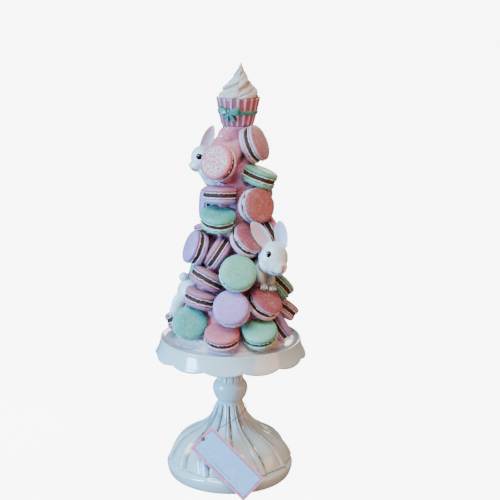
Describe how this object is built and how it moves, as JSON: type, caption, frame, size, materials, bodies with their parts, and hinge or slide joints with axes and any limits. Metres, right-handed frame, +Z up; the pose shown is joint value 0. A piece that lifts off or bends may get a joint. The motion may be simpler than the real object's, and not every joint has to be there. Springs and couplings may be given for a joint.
{
  "type": "macaron tower ornament with a cupcake on top, on a cake stand",
  "caption": "Cone of painted macarons and white rabbits pressed into pink icing, topped by a ribboned cupcake, on a footed cake stand with a scalloped skirt; a blank tag hangs from its neck.",
  "frame": {"origin": "middle of the stand's foot where it meets the table", "axes": "+Z up along the tower, -Y towards the shown front, +X to the right of the shown front"},
  "size_m": [0.1654, 0.1654, 0.457],
  "materials": {
    "stand": "milk-white gloss glaze",
    "core": "pale pink painted icing, satin",
    "mint": "mint painted shell with fine glitter, chocolate-brown filling",
    "violet": "lavender painted shell with fine glitter, chocolate-brown filling",
    "rose": "pink painted shell with fine glitter, chocolate-brown filling",
    "coral": "coral painted shell with coarse glitter, chocolate-brown filling",
    "rabbit": "white satin paint with pink ears and nose",
    "case": "dusty pink satin paint on fine pleats",
    "icing": "off-white gritty piped icing",
    "ribbon": "turquoise satin paint",
    "tag": "pale blue-white card with a pink border band, blank",
    "string": "thin grey twisted thread"
  },
  "bodies": {
    "root": {"cake_stand": "stand", "cupcake_case": "case", "hang_tag": "tag", "icing_core": "core", "icing_swirl": "icing", "macaron_01_rose": "rose", "macaron_02_rose": "rose", "macaron_03_coral": "coral", "macaron_04_mint": "mint", "macaron_05_violet": "violet", "macaron_06_violet": "violet", "macaron_07_mint": "mint", "macaron_08_coral": "coral", "macaron_09_rose": "rose", "macaron_10_violet": "violet", "macaron_11_rose": "rose", "macaron_12_rose": "rose", "macaron_13_coral": "coral", "macaron_14_mint": "mint", "macaron_15_rose": "rose", "macaron_16_mint": "mint", "macaron_17_rose": "rose", "macaron_18_violet": "violet", "macaron_19_mint": "mint", "macaron_20_rose": "rose", "macaron_21_mint": "mint", "macaron_22_coral": "coral", "macaron_23_mint": "mint", "macaron_24_violet": "violet", "macaron_25_coral": "coral", "macaron_26_rose": "rose", "macaron_27_mint": "mint", "macaron_28_rose": "rose", "macaron_29_violet": "violet", "macaron_30_coral": "coral", "macaron_31_mint": "mint", "macaron_32_violet": "violet", "macaron_33_rose": "rose", "macaron_34_mint": "mint", "macaron_35_rose": "rose", "macaron_36_violet": "violet", "macaron_37_coral": "coral", "macaron_38_mint": "mint", "macaron_39_violet": "violet", "macaron_40_rose": "rose", "macaron_41_mint": "mint", "rabbit_left": "rabbit", "rabbit_low": "rabbit", "rabbit_right": "rabbit", "ribbon_bow": "ribbon", "tag_string": "string"}
  },
  "joints": []
}
